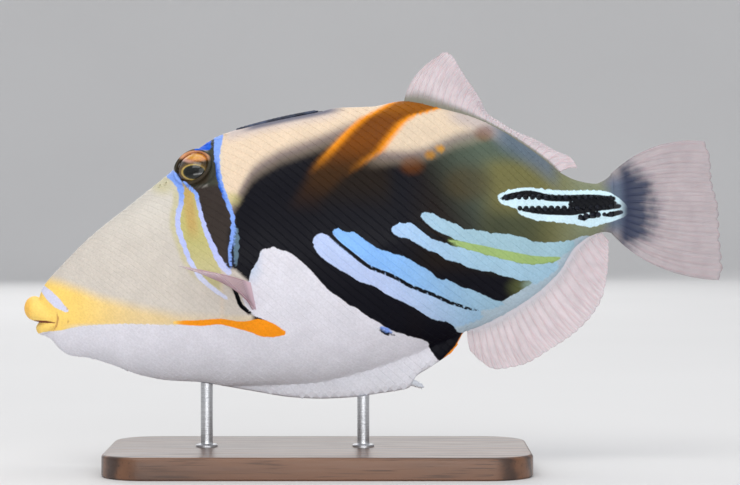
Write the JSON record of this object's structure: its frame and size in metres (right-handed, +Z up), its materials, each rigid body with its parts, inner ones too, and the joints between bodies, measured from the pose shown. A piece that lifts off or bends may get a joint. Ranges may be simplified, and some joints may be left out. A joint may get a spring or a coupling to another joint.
{
  "type": "triggerfish display model",
  "caption": "Life-size still model of a picasso triggerfish swimming nose down, with raised and folded fins, held over a flat base by short rods.",
  "frame": {"origin": "centre of the display base's flat underside, on the surface that it stands on", "axes": "+X towards the tail, along the length, so the snout points to -X; +Y to the fish's right; +Z up"},
  "size_m": [0.2189, 0.066, 0.1305],
  "materials": {
    "skin": "satin",
    "folded_fin": "satin",
    "fin_membrane": "satin",
    "eye": "polished",
    "stand_wood": "satin",
    "stand_steel": "brushed"
  },
  "bodies": {
    "root": {"head": "skin", "trunk": "skin", "tail": "skin", "first_dorsal_fin": "folded_fin", "pelvic_spine": "folded_fin", "second_dorsal_fin": "fin_membrane", "anal_fin": "fin_membrane", "caudal_fin": "fin_membrane", "pectoral_fin_left": "fin_membrane", "pectoral_fin_right": "fin_membrane", "eye_left": "eye", "eye_right": "eye", "stand_base": "stand_wood", "stand_rod_front": "stand_steel", "stand_rod_rear": "stand_steel"}
  },
  "joints": []
}
